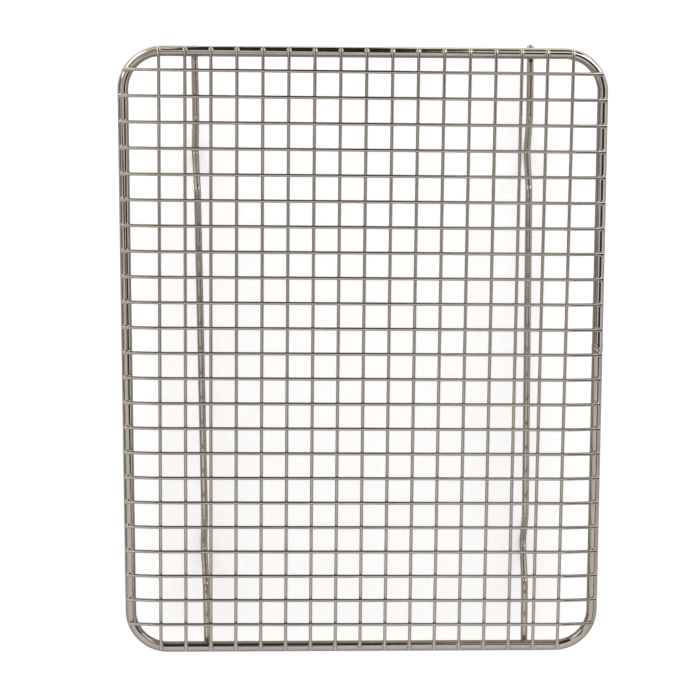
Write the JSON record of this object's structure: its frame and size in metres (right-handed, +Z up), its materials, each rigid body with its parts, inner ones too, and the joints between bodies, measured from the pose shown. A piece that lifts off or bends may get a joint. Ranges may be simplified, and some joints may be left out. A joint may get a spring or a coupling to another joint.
{
  "type": "pan grate",
  "caption": "Rectangular footed wire grate for the bottom of a food pan, with a rounded rod rim, a welded square wire mesh and leg wires bent into V-shaped feet.",
  "frame": {"origin": "under the middle of the grate, on the plane that its feet stand on", "axes": "+X across the grate, towards the rim's butt weld; +Y along its long side; +Z up, from the feet to the mesh"},
  "size_m": [0.2002, 0.2555, 0.0222],
  "materials": {
    "plated_rim": "bright nickel-chrome plating on a steel rod",
    "plated_mesh": "bright nickel-chrome plating on steel wire",
    "plated_legs": "bright nickel-chrome plating on steel wire, with a dull heat tint at a weld"
  },
  "bodies": {
    "root": {"rim_ring": "plated_rim", "long_wire_01": "plated_mesh", "long_wire_02": "plated_mesh", "long_wire_03": "plated_mesh", "long_wire_04": "plated_mesh", "long_wire_05": "plated_mesh", "long_wire_06": "plated_mesh", "long_wire_07": "plated_mesh", "long_wire_08": "plated_mesh", "long_wire_09": "plated_mesh", "long_wire_10": "plated_mesh", "long_wire_11": "plated_mesh", "long_wire_12": "plated_mesh", "long_wire_13": "plated_mesh", "long_wire_14": "plated_mesh", "long_wire_15": "plated_mesh", "long_wire_16": "plated_mesh", "long_wire_17": "plated_mesh", "cross_wire_01": "plated_mesh", "cross_wire_02": "plated_mesh", "cross_wire_03": "plated_mesh", "cross_wire_04": "plated_mesh", "cross_wire_05": "plated_mesh", "cross_wire_06": "plated_mesh", "cross_wire_07": "plated_mesh", "cross_wire_08": "plated_mesh", "cross_wire_09": "plated_mesh", "cross_wire_10": "plated_mesh", "cross_wire_11": "plated_mesh", "cross_wire_12": "plated_mesh", "cross_wire_13": "plated_mesh", "cross_wire_14": "plated_mesh", "cross_wire_15": "plated_mesh", "cross_wire_16": "plated_mesh", "cross_wire_17": "plated_mesh", "cross_wire_18": "plated_mesh", "cross_wire_19": "plated_mesh", "cross_wire_20": "plated_mesh", "cross_wire_21": "plated_mesh", "cross_wire_22": "plated_mesh", "cross_wire_23": "plated_mesh", "leg_wire_left": "plated_legs", "leg_wire_right": "plated_legs"}
  },
  "joints": []
}
